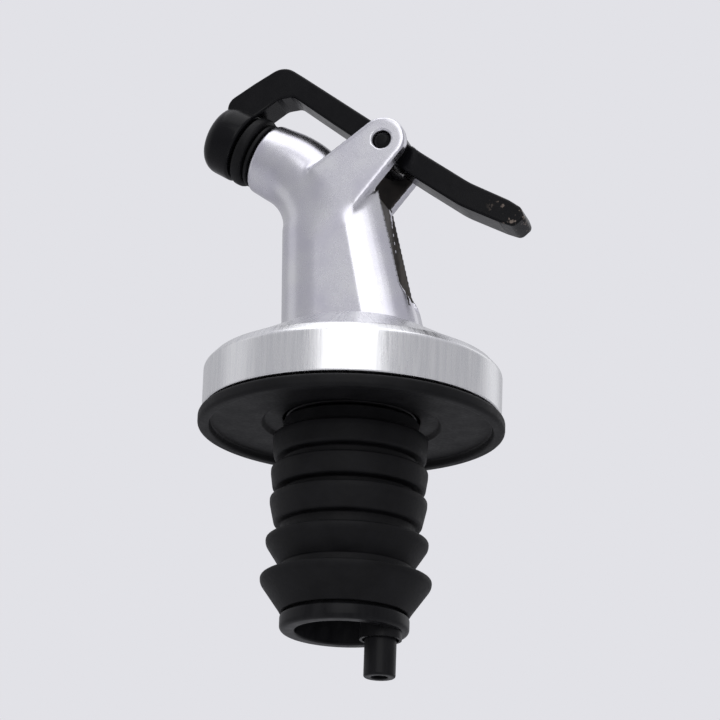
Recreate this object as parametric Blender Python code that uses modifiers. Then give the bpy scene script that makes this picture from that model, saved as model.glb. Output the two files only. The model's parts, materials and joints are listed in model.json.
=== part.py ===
"""Lever pourer for a spirits bottle: plated spout and collar, rubber stopper, sprung lever with a plug.

Frame: origin on the stopper's axis, in the plane where the gasket rests on the bottle's lip.
+Z is up along the stopper, -X is the side of the nozzle, +X is the side of the thumb tail.
Sizes are in millimetres, and mm() turns them into metres.
"""

import math

import bmesh
import bpy
from mathutils import Matrix, Vector

# ---------------------------------------------------------------- driving dimensions, millimetres
GAP = 0.3                          # clearance that two touching pieces keep

COLLAR_R = 18.0                    # plated ring over the bottle's lip
COLLAR_LOW = 1.1                   # its lower edge
COLLAR_SHOULDER = 6.4              # where the ring's wall turns into the dome
COLLAR_WALL = 1.0
DOME_POINTS = [(16.9, 7.5), (14.2, 8.9), (12.1, 10.0), (10.4, 11.0), (8.6, 11.8), (5.0, 12.3)]

GASKET_R = 18.45
GASKET_LIP = 1.35                  # rim that hangs round the bottle's finish
GASKET_DROP = 0.8
GASKET_BORE = 8.2
SEAT_INNER_R = 10.8                # inner edge of the flat seat on the bottle's lip

HALF_WIDTH = 5.4                   # half the width of the trunk, and of the pair of ears
TRUNK_FOOT = 11.0
TRUNK_TOP = 29.0
FRONT_AT_FOOT = -9.0               # front of the trunk, which leans forward a little
FRONT_LEAN = 0.03
BACK_AT_FOOT = 7.5                 # back of the trunk, which slopes in towards the ears
BACK_SLOPE = 0.27
CREASE_AT_FOOT = 2.7               # where the flat side meets the round back
CREASE_SLOPE = 0.21

BEND_CENTRE = (-14.6, 25.1)        # X and Z of the bend from the trunk into the nozzle
BEND_ANGLE = math.radians(61.0)
BEND_INNER_R = 5.3                 # radius of the chin
NECK_R = 5.3                       # neck at the bottom of the bend
NECK_BEND_R = 4.65                 # neck at the end of the bend
MOUTH_R = 4.4
MOUTH_RUN = 2.7                    # straight run from the bend to the mouth

PIVOT = (4.0, 34.5)                # X and Z of the lever's hinge
EAR_R = 2.9
EAR_GAP = 3.7                      # half the gap between the ears
EAR_FRONT = (-5.2, 31.2)           # where the ears' upper edge leaves the neck
EAR_BACK = (-0.1, 24.7)            # where the ears' back edge meets the trunk
PIN_R = 1.0
PIN_PLAY = 0.05

SLOT_TOP = (27.5, 2.75, 1.6)       # height, half width and floor X of the slot down the back
SLOT_END = (11.8, 0.25, 5.9)

FLOW_R = 2.3                       # bore for the liquid, from the core up to the mouth
FLOW_FOOT_X = -1.6
FLOW_TOP = (-6.5, 31.5)
FLOW_DROP = 1.3                    # how far the bore lies below the nozzle's axis
AIR_R = 0.6                        # bore for the air, behind the liquid
AIR_FOOT_X = 3.4
AIR_TOP = (-3.45, 33.3)
AIR_LIFT = 2.6

SPIGOT_R = 6.0                     # the body's plug into the core
SPIGOT_LOW = 3.8
BASE_R = 12.0
BASE_LOW = 6.9
BASE_TOP = 8.6
SEAL_R = 5.6
SEAL_WIRE_R = 0.45
SEAL_Z = 5.3

LEVER_HALF = 2.4
LEVER_THICK = 2.8
LEVER_HUB_R = 2.5
LEVER_HUB_HALF = 2.55
LEVER_HOLE_R = PIN_R + PIN_PLAY
LEVER_TOP = [(20.9, 25.6), (19.5, 26.6), (17.0, 27.8), (14.4, 29.2), (11.8, 30.9), (8.8, 33.1),
             (-7.0, 44.3), (-9.0, 45.5), (-10.2, 45.7), (-11.4, 45.2), (-12.8, 44.0), (-14.6, 42.5)]
LEVER_TIP = [(18.2, 23.9), (19.4, 23.4), (20.3, 23.5), (20.9, 24.0), (21.2, 24.7)]

CORE_FLANGE_R = 16.6
CORE_TOP = 6.6
CORE_FLANGE_LOW = 3.3
CORE_R = 7.0                       # stem inside the rubber sleeve
CORE_FLOW_R = 3.0
CORE_RECESS_R = 5.9                # the hollow lower end of the stem
CORE_RECESS = 7.0
CORE_END_R = 7.7                   # bead that holds the sleeve from below
CORE_END = -25.6
SLEEVE_R = 7.9                     # sleeve between its fins
SLEEVE_TOP = 0.2
SLEEVE_END = -23.4
FINS = [                           # top, bottom, radius at the top, radius at the bottom
    (-1.6, -4.6, 9.3, 9.1),
    (-5.6, -8.4, 9.4, 9.1),
    (-9.2, -12.7, 9.4, 8.8),
    (-14.2, -17.7, 9.7, 8.0),
    (-18.9, -22.9, 10.2, 8.0),
]

TUBE_X = 4.5
TUBE_R = 1.9
TUBE_BORE_R = 1.0
TUBE_TOP = -12.0
TUBE_END = -31.1
SOCKET_R = 2.5
SOCKET_END = -26.6

LIP_DISC = (0.3, 0.8, 4.1)         # start, end and radius along the nozzle's axis
PLUG_DISC = (1.1, 2.6, 4.45)
PAD = (2.9, 7.7, 4.45)
PLUG_STEM_R = 1.3
PLUG_STEM = 2.2                    # how far the seal's stem reaches into the pad

COIL_R = 1.75                      # torsion spring in the side of the lever's hub
COIL_WIRE_R = 0.19
COIL_OUTER_Y = -3.2                # the fixed leg, between the lever's side and the ear
COIL_INNER_Y = -1.65               # the leg under the tail
COIL_TURNS = 3.82
COIL_TURN_STEPS = 16
FIXED_LEG = 6.1
TAIL_LEG = 3.6

ROUND_STEPS = 48
SMALL_STEPS = 32
WIDE_STEPS = 64


def mm(value):
    return value / 1000.0


def v_mm(x, y, z):
    return Vector((mm(x), mm(y), mm(z)))


# ---------------------------------------------------------------- scene, collections, materials
def clear_scene():
    for obj in list(bpy.data.objects):
        bpy.data.objects.remove(obj, do_unlink=True)


def make_collection(name):
    collection = bpy.data.collections.new(name)
    bpy.context.scene.collection.children.link(collection)
    return collection


def make_material(name, colour, roughness, metallic=0.0):
    material = bpy.data.materials.new(name)
    material.use_nodes = True
    shader = material.node_tree.nodes["Principled BSDF"]
    shader.inputs["Base Color"].default_value = (*colour, 1.0)
    shader.inputs["Roughness"].default_value = roughness
    shader.inputs["Metallic"].default_value = metallic
    material.diffuse_color = (*colour, 1.0)
    return material


clear_scene()
PARTS = make_collection("liquor_pour_spout")
CUTTERS = make_collection("cutters")
PLATED = make_material("satin_plating", (0.74, 0.74, 0.78), 0.3, 1.0)
GLOSS = make_material("gloss_black_plastic", (0.012, 0.012, 0.014), 0.2)
CORE = make_material("black_core_plastic", (0.02, 0.02, 0.022), 0.4)
RUBBER = make_material("black_rubber", (0.022, 0.022, 0.024), 0.6)
STEEL = make_material("spring_steel", (0.55, 0.55, 0.56), 0.3, 1.0)


# ---------------------------------------------------------------- small modelling tools
def add_object(name, mesh, material=None):
    """Put a mesh in the parts when it has a material, and among the cutters when it has none."""
    mesh.shade_smooth()
    mesh.set_sharp_from_angle(angle=math.radians(35.0))
    obj = bpy.data.objects.new(name, mesh)
    if material is None:
        CUTTERS.objects.link(obj)
        obj.hide_render = True
        obj.display_type = "WIRE"
    else:
        PARTS.objects.link(obj)
        obj.data.materials.append(material)
    return obj


def turned(name, profile, material=None, steps=ROUND_STEPS, placing=Matrix()):
    """Turn a closed profile of (radius, height) points round the local Z axis."""
    mesh = bpy.data.meshes.new(name)
    points = [(mm(r), 0.0, mm(z)) for r, z in profile]
    closed = profile[0][0] > 0.0
    edges = [(i, i + 1) for i in range(len(points) - 1)]
    if closed:
        edges.append((len(points) - 1, 0))
    mesh.from_pydata(points, edges, [])
    obj = add_object(name, mesh, material)
    obj.matrix_world = placing
    screw = obj.modifiers.new("turn", "SCREW")
    screw.axis = "Z"
    screw.steps = steps
    screw.render_steps = steps
    screw.use_merge_vertices = True
    screw.merge_threshold = 0.000001
    screw.use_smooth_shade = True
    return obj


def cylinder(name, start, end, radius, material=None, steps=SMALL_STEPS):
    """A solid cylinder between two points."""
    run = end - start
    bm = bmesh.new()
    turn = Vector((0, 0, 1)).rotation_difference(run).to_matrix().to_4x4()
    placing = Matrix.Translation((start + end) / 2) @ turn
    bmesh.ops.create_cone(bm, cap_ends=True, segments=steps, radius1=mm(radius), radius2=mm(radius),
                          depth=run.length, matrix=placing)
    mesh = bpy.data.meshes.new(name)
    bm.to_mesh(mesh)
    bm.free()
    return add_object(name, mesh, material)


def skin(name, rings, material=None):
    """Loft between rings that have the same number of points, and cap both ends."""
    bm = bmesh.new()
    loops = [[bm.verts.new(point) for point in ring] for ring in rings]
    count = len(loops[0])
    for low, high in zip(loops, loops[1:]):
        for i in range(count):
            j = (i + 1) % count
            bm.faces.new((low[i], low[j], high[j], high[i]))
    bm.faces.new(list(reversed(loops[0])))
    bm.faces.new(loops[-1])
    bmesh.ops.recalc_face_normals(bm, faces=bm.faces)
    mesh = bpy.data.meshes.new(name)
    bm.to_mesh(mesh)
    bm.free()
    return add_object(name, mesh, material)


def prism(name, outline, half_width, material=None):
    """A flat outline of (X, Z) points, thickened both ways along Y."""
    curve = bpy.data.curves.new(name + "_outline", "CURVE")
    curve.dimensions = "2D"
    curve.fill_mode = "BOTH"
    curve.extrude = mm(half_width)
    spline = curve.splines.new("POLY")
    spline.points.add(len(outline) - 1)
    for point, (x, z) in zip(spline.points, outline):
        point.co = (mm(x), mm(z), 0.0, 1.0)
    spline.use_cyclic_u = True
    guide = bpy.data.objects.new(name + "_guide", curve)
    CUTTERS.objects.link(guide)
    mesh = bpy.data.meshes.new_from_object(guide.evaluated_get(bpy.context.evaluated_depsgraph_get()))
    bpy.data.objects.remove(guide, do_unlink=True)
    bm = bmesh.new()
    bm.from_mesh(mesh)
    bmesh.ops.remove_doubles(bm, verts=bm.verts, dist=0.000001)
    bmesh.ops.rotate(bm, verts=bm.verts, matrix=Matrix.Rotation(math.radians(90.0), 3, "X"))
    bmesh.ops.dissolve_limit(bm, angle_limit=0.001, verts=bm.verts, edges=bm.edges)
    bmesh.ops.recalc_face_normals(bm, faces=bm.faces)
    bm.to_mesh(mesh)
    bm.free()
    return add_object(name, mesh, material)


def bevel(obj, width, segments=2, degrees=40.0):
    modifier = obj.modifiers.new("edges", "BEVEL")
    modifier.width = mm(width)
    modifier.segments = segments
    modifier.limit_method = "ANGLE"
    modifier.angle_limit = math.radians(degrees)


def combine(obj, tool, operation):
    modifier = obj.modifiers.new(tool.name, "BOOLEAN")
    modifier.operation = operation
    modifier.solver = "EXACT"
    modifier.object = tool


def arc(centre, radius, start, end, count):
    """Points along an arc, with the angles in degrees."""
    points = []
    for i in range(count + 1):
        angle = math.radians(start + (end - start) * i / count)
        points.append((centre[0] + radius * math.cos(angle), centre[1] + radius * math.sin(angle)))
    return points


# ---------------------------------------------------------------- the neck's path
def neck_frame(run):
    """Centre, radius and forward direction of the neck; run is 0 at the trunk and 1 at the bend's end,
    and past that it counts millimetres along the straight mouth."""
    angle = BEND_ANGLE * min(run, 1.0)
    straight = max(run - 1.0, 0.0)
    radius = NECK_R + (NECK_BEND_R - NECK_R) * min(run, 1.0)
    arm = BEND_INNER_R + radius
    forward = Vector((-math.sin(angle), 0.0, math.cos(angle)))
    radius += (MOUTH_R - NECK_BEND_R) * min(straight / MOUTH_RUN, 1.0)
    centre = Vector((BEND_CENTRE[0] + arm * math.cos(angle), 0.0, BEND_CENTRE[1] + arm * math.sin(angle)))
    return centre + forward * straight, radius, forward


def mouth_matrix():
    """Placing whose +Z runs out of the mouth, with the origin at the mouth's centre."""
    centre, _, forward = neck_frame(1.0 + MOUTH_RUN)
    turn = Vector((0, 0, 1)).rotation_difference(forward).to_matrix().to_4x4()
    return Matrix.Translation(centre / 1000.0) @ turn


MOUTH = mouth_matrix()


def on_mouth(out, up=0.0):
    """A point in the mouth's frame: out along the nozzle's axis and up across it, in metres."""
    _, _, forward = neck_frame(1.0 + MOUTH_RUN)
    across = Vector((forward.z, 0.0, -forward.x))
    return MOUTH.translation + forward * mm(out) + across * mm(up)


# ---------------------------------------------------------------- collar, gasket, core and sleeve
def collar_outer(inset=0.0):
    """The collar's outline from the crown down to its lower edge, moved inwards by inset."""
    shoulder = arc((COLLAR_R - 1.4, COLLAR_SHOULDER), 1.4 - min(inset, 1.3), 62, 0, 5)
    crown = [(r - inset * 0.5, z - inset * 0.87) for r, z in reversed(DOME_POINTS[1:])]
    return crown + shoulder + [(COLLAR_R - inset, COLLAR_LOW + 0.4)]


def make_collar():
    outer = collar_outer()
    inner = collar_outer(COLLAR_WALL)
    rim = [(COLLAR_R - 0.1, COLLAR_LOW + 0.1), (COLLAR_R - 0.3, COLLAR_LOW), (COLLAR_R - COLLAR_WALL, COLLAR_LOW)]
    crown = [(0.0, outer[0][1] + 0.1)]
    floor = [(0.0, inner[0][1] + 0.1)]
    collar = turned("collar_cap", crown + outer + rim + list(reversed(inner)) + floor, PLATED, WIDE_STEPS)
    hole = trunk("collar_hole", TRUNK_FOOT - 4.0, TRUNK_FOOT + 6.0, GAP, None)
    combine(collar, hole, "DIFFERENCE")
    return collar


def make_gasket():
    inner_rim = GASKET_R - GASKET_LIP
    profile = [
        (GASKET_R - 0.3, COLLAR_LOW - GAP),
        (GASKET_R, COLLAR_LOW - GAP - 0.3),
        (GASKET_R, 0.3 - GASKET_DROP),
        (GASKET_R - 0.3, -GASKET_DROP),
        (inner_rim + 0.2, -GASKET_DROP),
        (inner_rim, 0.2 - GASKET_DROP),
        (inner_rim, 0.0),
        (SEAT_INNER_R, 0.0),
        (SEAT_INNER_R - 0.5, 0.5),
        (GASKET_BORE, 0.5),
        (GASKET_BORE, 3.0),
        (CORE_FLANGE_R, 3.0),
        (CORE_FLANGE_R, COLLAR_LOW - GAP),
    ]
    return turned("lip_gasket", profile, RUBBER, 96)


def make_core():
    bead = arc((CORE_END_R - 0.6, CORE_END + 0.6), 0.6, 0, -90, 3)
    bottom = SPIGOT_LOW - GAP
    profile = [
        (0.0, bottom),
        (SPIGOT_R + GAP, bottom),
        (SPIGOT_R + GAP, CORE_TOP),
        (CORE_FLANGE_R - 0.4, CORE_TOP),
        (CORE_FLANGE_R, CORE_TOP - 0.4),
        (CORE_FLANGE_R, CORE_FLANGE_LOW),
        (CORE_R + 0.9, CORE_FLANGE_LOW),
        (CORE_R + 0.9, 0.5),
        (CORE_R, 0.5),
        (CORE_R, SLEEVE_END - GAP),
        (CORE_END_R - 0.4, SLEEVE_END - GAP),
        (CORE_END_R, SLEEVE_END - GAP - 0.4),
        *bead,
        (CORE_RECESS_R, CORE_END),
        (CORE_RECESS_R - 1.0, CORE_END + CORE_RECESS),
        (0.0, CORE_END + CORE_RECESS),
    ]
    core = turned("core_stem", profile, CORE)
    inside = CORE_END + CORE_RECESS
    combine(core, cylinder("core_socket", v_mm(TUBE_X, 0, SOCKET_END), v_mm(TUBE_X, 0, inside + 1.0), SOCKET_R),
            "UNION")
    flow = cylinder("core_flow", v_mm(FLOW_FOOT_X, 0, SOCKET_END), v_mm(FLOW_FOOT_X, 0, 5.0), CORE_FLOW_R)
    tube_hole = cylinder("core_tube_hole", v_mm(TUBE_X, 0, SOCKET_END - 1), v_mm(TUBE_X, 0, TUBE_TOP + GAP),
                         TUBE_R + GAP)
    air = cylinder("core_air", v_mm(TUBE_X, 0, TUBE_TOP - 1.0), v_mm(TUBE_X, 0, 5.0), TUBE_BORE_R, None, 16)
    for hole in (flow, tube_hole, air):
        combine(core, hole, "DIFFERENCE")
    return core


def make_sleeve():
    outer = [(SLEEVE_R, SLEEVE_TOP)]
    for top, bottom, top_r, bottom_r in FINS:
        outer += [
            (SLEEVE_R, top),
            (top_r - 0.25, top),
            (top_r, top - 0.35),
            (top_r, top - 0.8),
            (bottom_r, bottom + 0.4),
            (bottom_r - 0.4, bottom),
            (SLEEVE_R, bottom - 0.15),
        ]
    outer[-1] = (CORE_END_R, SLEEVE_END)
    profile = outer + [(CORE_R + GAP, SLEEVE_END), (CORE_R + GAP, SLEEVE_TOP)]
    return turned("stopper_sleeve", profile, RUBBER)


def make_vent_tube():
    profile = [
        (TUBE_BORE_R, TUBE_TOP),
        (TUBE_R, TUBE_TOP),
        (TUBE_R, TUBE_END + 0.3),
        (TUBE_R - 0.3, TUBE_END),
        (TUBE_BORE_R, TUBE_END),
    ]
    return turned("vent_tube", profile, CORE, 24, Matrix.Translation(v_mm(TUBE_X, 0, 0)))


def make_seal():
    ring = list(reversed(arc((SEAL_R, SEAL_Z), SEAL_WIRE_R, 0, 315, 7)))
    return turned("body_seal", ring, RUBBER, SMALL_STEPS)


# ---------------------------------------------------------------- spout body
def trunk_section(z, grow=0.0):
    """Outline of the trunk at a height: round front, flat sides, rounded back behind a crease."""
    rise = z - TRUNK_FOOT
    half = HALF_WIDTH + grow
    front = FRONT_AT_FOOT - FRONT_LEAN * rise - grow
    back = BACK_AT_FOOT - BACK_SLOPE * rise + grow
    crease = CREASE_AT_FOOT - CREASE_SLOPE * rise
    nose = front + half
    points = []
    for i in range(17):
        angle = math.pi * i / 16
        points.append(v_mm(nose - half * math.sin(angle), half * math.cos(angle), z))
    depth = back - crease
    radius = (half * half + depth * depth) / (2 * depth)
    spread = math.atan2(half, radius - depth)
    for i in range(13):
        angle = spread * (2 * i / 12 - 1)
        points.append(v_mm(back - radius + radius * math.cos(angle), radius * math.sin(angle), z))
    return points


def trunk(name, low, high, grow, material):
    return skin(name, [trunk_section(z, grow) for z in (low, high)], material)


def neck_ring(run, grow=0.0, sides=40):
    centre, radius, forward = neck_frame(run)
    across = Vector((forward.z, 0.0, -forward.x))
    ring = []
    for i in range(sides):
        angle = 2 * math.pi * i / sides
        side = Vector((0, math.sin(angle), 0)) + across * math.cos(angle)
        ring.append((centre + side * (radius + grow)) / 1000.0)
    return ring


def make_neck():
    end = 1.0 + MOUTH_RUN
    foot = [point - v_mm(0, 0, 2.0) for point in neck_ring(0.0, -0.02)]
    bends = [foot] + [neck_ring(i / 8.0) for i in range(9)]
    lip = [neck_ring(end - 0.5), neck_ring(end - 0.12, -0.12), neck_ring(end, -0.4)]
    return skin("body_neck", bends + lip)


def ear_tangent(point, side):
    """Angle on the ears' round end, in degrees, where the straight edge from a point touches it."""
    reach = Vector((point[0] - PIVOT[0], point[1] - PIVOT[1]))
    return math.degrees(math.atan2(reach.y, reach.x) + side * math.acos(EAR_R / reach.length)) % 360.0


def ear_outline():
    """The ears' outline: a round end about the pivot, with straight edges tangent to it."""
    lower = ear_tangent(EAR_BACK, 1) - 360.0
    upper = ear_tangent(EAR_FRONT, -1)
    root = [(EAR_FRONT[0] + 1.6, EAR_FRONT[1] - 4.5), (EAR_BACK[0] - 2.0, EAR_BACK[1] - 1.0)]
    return [EAR_BACK] + arc(PIVOT, EAR_R, lower, upper, 16) + [EAR_FRONT] + root


def pocket_outline(drop):
    """The open space between the ears: above the bend's foot and above the line of their back edge."""
    touch = math.radians(ear_tangent(EAR_BACK, 1))
    touch_x = PIVOT[0] + EAR_R * math.cos(touch)
    touch_z = PIVOT[1] + EAR_R * math.sin(touch)
    slope = (touch_z - EAR_BACK[1]) / (touch_x - EAR_BACK[0])
    start = BEND_CENTRE[1] - 5.0 * drop
    turn_x = EAR_BACK[0] + (start - EAR_BACK[1] + drop) / slope
    reach = 14.0
    top = start + (reach - turn_x) * slope
    return [(-16.0, start), (turn_x, start), (reach, top), (-16.0, top)]


def make_body():
    body = trunk("spout_body", BASE_TOP - 1.0, TRUNK_TOP, 0.0, PLATED)
    trim = prism("body_trim", pocket_outline(0.0), HALF_WIDTH + 2.0)
    ears = prism("body_ears", ear_outline(), HALF_WIDTH - 0.02)
    pocket = prism("body_pocket", pocket_outline(0.08), EAR_GAP)
    groove = SEAL_WIRE_R + 0.25
    base = turned("body_base", [
        (0.0, BASE_TOP),
        (BASE_R, BASE_TOP),
        (BASE_R, BASE_LOW),
        (SPIGOT_R, BASE_LOW),
        (SPIGOT_R, SEAL_Z + groove),
        (SEAL_R - groove, SEAL_Z + groove),
        (SEAL_R - groove, SEAL_Z - groove),
        (SPIGOT_R, SEAL_Z - groove),
        (SPIGOT_R, SPIGOT_LOW),
        (0.0, SPIGOT_LOW),
    ])
    slot_rings = []
    for z, half, floor in (SLOT_END, SLOT_TOP):
        slot_rings.append([v_mm(floor, -half, z), v_mm(14.0, -half, z), v_mm(14.0, half, z), v_mm(floor, half, z)])
    slot = skin("body_slot", slot_rings)
    flow = cylinder("body_flow", v_mm(FLOW_FOOT_X, 0, SPIGOT_LOW - 1.0), v_mm(FLOW_TOP[0], 0, FLOW_TOP[1]), FLOW_R)
    flow_out = cylinder("body_flow_out", on_mouth(-7.0, -FLOW_DROP), on_mouth(2.0, -FLOW_DROP), FLOW_R)
    air = cylinder("body_air", v_mm(AIR_FOOT_X, 0, SPIGOT_LOW - 1.0), v_mm(AIR_TOP[0], 0, AIR_TOP[1]), AIR_R, None, 12)
    air_out = cylinder("body_air_out", on_mouth(-8.8, AIR_LIFT), on_mouth(2.0, AIR_LIFT), AIR_R, None, 12)
    pin_hole = cylinder("body_pin_hole", v_mm(PIVOT[0], -9, PIVOT[1]), v_mm(PIVOT[0], 9, PIVOT[1]), PIN_R + 0.12)
    combine(ears, pocket, "DIFFERENCE")
    combine(body, trim, "DIFFERENCE")
    combine(body, ears, "UNION")
    combine(body, make_neck(), "UNION")
    combine(body, base, "UNION")
    for hole in (slot, flow, flow_out, air, air_out, pin_hole):
        combine(body, hole, "DIFFERENCE")
    return body


# ---------------------------------------------------------------- lever, pin, plug and spring
def lever_outline():
    """Top edge from the tail's tip to the hook, and the same edge moved down by the thickness."""
    top = [Vector(point) for point in LEVER_TOP]
    under = []
    for i, point in enumerate(top):
        before = top[max(i - 1, 0)]
        after = top[min(i + 1, len(top) - 1)]
        run = (after - before).normalized()
        under.append(point + Vector((run.y, -run.x)) * -LEVER_THICK)
    inner = [p for p in under[2:] if p.x > -9.5]
    hook = [(-9.6, 42.2), (-11.2, 41.0), (-13.6, 39.4)]
    return top + [(-15.6, 41.6), (-15.9, 39.9)] + hook[::-1] + inner[::-1] + LEVER_TIP


def tail_leg():
    """Start and end, in millimetres, of the spring's leg along the underside of the tail."""
    low = Vector(LEVER_TOP[5])
    high = Vector(LEVER_TOP[6])
    along = (low - high).normalized()
    start = Vector((PIVOT[0] + COIL_R * along.y, COIL_INNER_Y, PIVOT[1] - COIL_R * along.x))
    return start, start + Vector((along.x, 0.0, along.y)) * TAIL_LEG


def make_lever():
    lever = prism("lever", lever_outline(), LEVER_HALF, GLOSS)
    bevel(lever, 0.45, 2, 25.0)
    hub = cylinder("lever_hub", v_mm(PIVOT[0], -LEVER_HUB_HALF, PIVOT[1]), v_mm(PIVOT[0], LEVER_HUB_HALF, PIVOT[1]),
                   LEVER_HUB_R)
    start, end, radius = PAD
    socket_r = PLUG_STEM_R + GAP
    pad = turned("lever_pad", [
        (0.0, end),
        *arc((radius - 1.6, end - 1.6), 1.6, 80, 0, 5),
        *arc((radius - 0.4, start + 0.4), 0.4, 0, -90, 2),
        (socket_r, start),
        (socket_r, start + PLUG_STEM + GAP),
        (0.0, start + PLUG_STEM + GAP),
    ], None, 40, MOUTH)
    clear = COIL_WIRE_R + 0.2
    relief = cylinder("lever_relief", v_mm(PIVOT[0], COIL_INNER_Y + clear, PIVOT[1]),
                      v_mm(PIVOT[0], -LEVER_HALF - 1, PIVOT[1]), COIL_R + clear)
    leg_start, leg_end = tail_leg()
    groove = cylinder("lever_leg_groove", leg_start / 1000.0, leg_end / 1000.0, clear + 0.05, None, 16)
    hole = cylinder("lever_pin_hole", v_mm(PIVOT[0], -9, PIVOT[1]), v_mm(PIVOT[0], 9, PIVOT[1]), LEVER_HOLE_R + 0.02)
    combine(lever, hub, "UNION")
    combine(lever, pad, "UNION")
    for cut in (relief, groove, hole):
        combine(lever, cut, "DIFFERENCE")
    return lever


def make_pin():
    end = HALF_WIDTH - 0.2
    return cylinder("pivot_pin", v_mm(PIVOT[0], -end, PIVOT[1]), v_mm(PIVOT[0], end, PIVOT[1]), PIN_R, GLOSS)


def make_mouth_seal():
    """Thin disc over the mouth, with a stem through the plug's disc and into the lever."""
    start, end, radius = LIP_DISC
    return turned("mouth_seal", [
        (0.0, PAD[0] + PLUG_STEM),
        (PLUG_STEM_R, PAD[0] + PLUG_STEM),
        (PLUG_STEM_R, end),
        (radius - 0.2, end),
        (radius, end - 0.2),
        (radius, start),
        (0.0, start),
    ], RUBBER, 40, MOUTH)


def make_plug_disc():
    start, end, radius = PLUG_DISC
    return turned("plug_disc", [
        (PLUG_STEM_R + GAP, end),
        *arc((radius - 0.5, end - 0.5), 0.5, 90, 0, 3),
        *arc((radius - 0.5, start + 0.5), 0.5, 0, -90, 3),
        (PLUG_STEM_R + GAP, start),
    ], RUBBER, 40, MOUTH)


def make_spring():
    """Coil round the pin, from the leg on the neck's back to the leg under the lever's tail."""
    tail_start, tail_end = tail_leg()
    last = math.atan2(tail_start.z - PIVOT[1], tail_start.x - PIVOT[0])
    first = last - 2 * math.pi * COIL_TURNS
    count = round(COIL_TURNS * COIL_TURN_STEPS)
    coil = []
    for i in range(count + 1):
        angle = first + (last - first) * i / count
        side = COIL_OUTER_Y + (COIL_INNER_Y - COIL_OUTER_Y) * i / count
        coil.append(Vector((PIVOT[0] + COIL_R * math.cos(angle), side, PIVOT[1] + COIL_R * math.sin(angle))))
    arrival = Vector((-math.sin(first), 0.0, math.cos(first)))
    route = [coil[0] - arrival * FIXED_LEG, coil[0] - arrival * FIXED_LEG / 2] + coil
    route += [tail_start.lerp(tail_end, 0.5), tail_end]
    curve = bpy.data.curves.new("spring_wire", "CURVE")
    curve.dimensions = "3D"
    curve.bevel_depth = mm(COIL_WIRE_R)
    curve.bevel_resolution = 2
    curve.use_fill_caps = True
    spline = curve.splines.new("POLY")
    spline.points.add(len(route) - 1)
    for point, place in zip(spline.points, route):
        point.co = (*(place / 1000.0), 1.0)
    wire = bpy.data.objects.new("torsion_spring", curve)
    PARTS.objects.link(wire)
    curve.materials.append(STEEL)
    return wire


def hang_on_pivot(pieces):
    """Parent the moving pieces to an empty on the hinge's axis."""
    pivot = bpy.data.objects.new("lever_pivot", None)
    PARTS.objects.link(pivot)
    pivot.location = v_mm(PIVOT[0], 0, PIVOT[1])
    for piece in pieces:
        piece.parent = pivot
        piece.matrix_parent_inverse = Matrix.Translation(-pivot.location)


for make in (make_collar, make_gasket, make_core, make_sleeve, make_vent_tube, make_seal, make_body,
             make_pin, make_spring):
    make()
hang_on_pivot([make_lever(), make_mouth_seal(), make_plug_disc()])
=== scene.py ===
"""Looks of the lever pourer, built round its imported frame.

Sizes are in millimetres, in the frame's axes: +Z up along the stopper, -X towards the nozzle's mouth,
+X towards the thumb tail, and the origin in the plane where the gasket rests on the bottle's lip. Meshes
are in metres.
"""
import json
import math

import bmesh
import bpy
import numpy as np
from mathutils import Matrix, Vector


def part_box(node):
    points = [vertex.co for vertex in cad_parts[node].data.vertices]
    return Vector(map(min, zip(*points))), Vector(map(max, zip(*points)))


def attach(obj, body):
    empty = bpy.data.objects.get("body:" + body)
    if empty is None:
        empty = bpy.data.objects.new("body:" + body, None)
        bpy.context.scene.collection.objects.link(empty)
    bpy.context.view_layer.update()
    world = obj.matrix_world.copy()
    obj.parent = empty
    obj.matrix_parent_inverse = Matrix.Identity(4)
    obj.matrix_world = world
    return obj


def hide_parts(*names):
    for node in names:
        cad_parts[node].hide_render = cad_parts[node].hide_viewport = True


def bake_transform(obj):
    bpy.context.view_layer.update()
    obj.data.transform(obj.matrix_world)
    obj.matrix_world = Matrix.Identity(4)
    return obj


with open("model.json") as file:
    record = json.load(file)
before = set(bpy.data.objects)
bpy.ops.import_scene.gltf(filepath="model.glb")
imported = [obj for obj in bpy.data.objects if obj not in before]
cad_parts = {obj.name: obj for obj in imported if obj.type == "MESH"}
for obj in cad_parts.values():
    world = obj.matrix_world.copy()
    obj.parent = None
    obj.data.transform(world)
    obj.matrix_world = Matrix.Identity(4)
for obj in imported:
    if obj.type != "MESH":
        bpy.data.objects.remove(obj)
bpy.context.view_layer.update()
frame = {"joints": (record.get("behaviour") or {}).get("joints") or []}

ROOT = "root"
LEVER = "lever"
MM = 1000.0                                       # millimetres in a metre
HINGE = frame["joints"][0]
PIVOT = (HINGE["pos_m"][0] * MM, HINGE["pos_m"][2] * MM)          # X and Z of the hinge's axis


# ---------------------------------------------------------------- sizes, millimetres
def corners(node):
    """Lowest and highest corner of a CAD node, in millimetres."""
    low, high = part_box(node)
    return Vector(low) * MM, Vector(high) * MM


COLLAR_LOW = corners("collar_cap")[0].z
COLLAR_R = corners("collar_cap")[1].x
CROWN_Z = corners("collar_cap")[1].z
GASKET_LOW = corners("lip_gasket")[0].z
GASKET_R = corners("lip_gasket")[1].x
HALF_WIDTH = 5.4                                  # of the trunk and across the ears
SLEEVE_TOP = corners("stopper_sleeve")[1].z
SLEEVE_END = corners("stopper_sleeve")[0].z
CORE_END = corners("core_stem")[0].z + 1.0        # the tube's socket reaches a millimetre lower
TUBE_LOW, TUBE_HIGH = corners("vent_tube")
TUBE_X = (TUBE_LOW.x + TUBE_HIGH.x) / 2
TUBE_R = (TUBE_HIGH.x - TUBE_LOW.x) / 2

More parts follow.
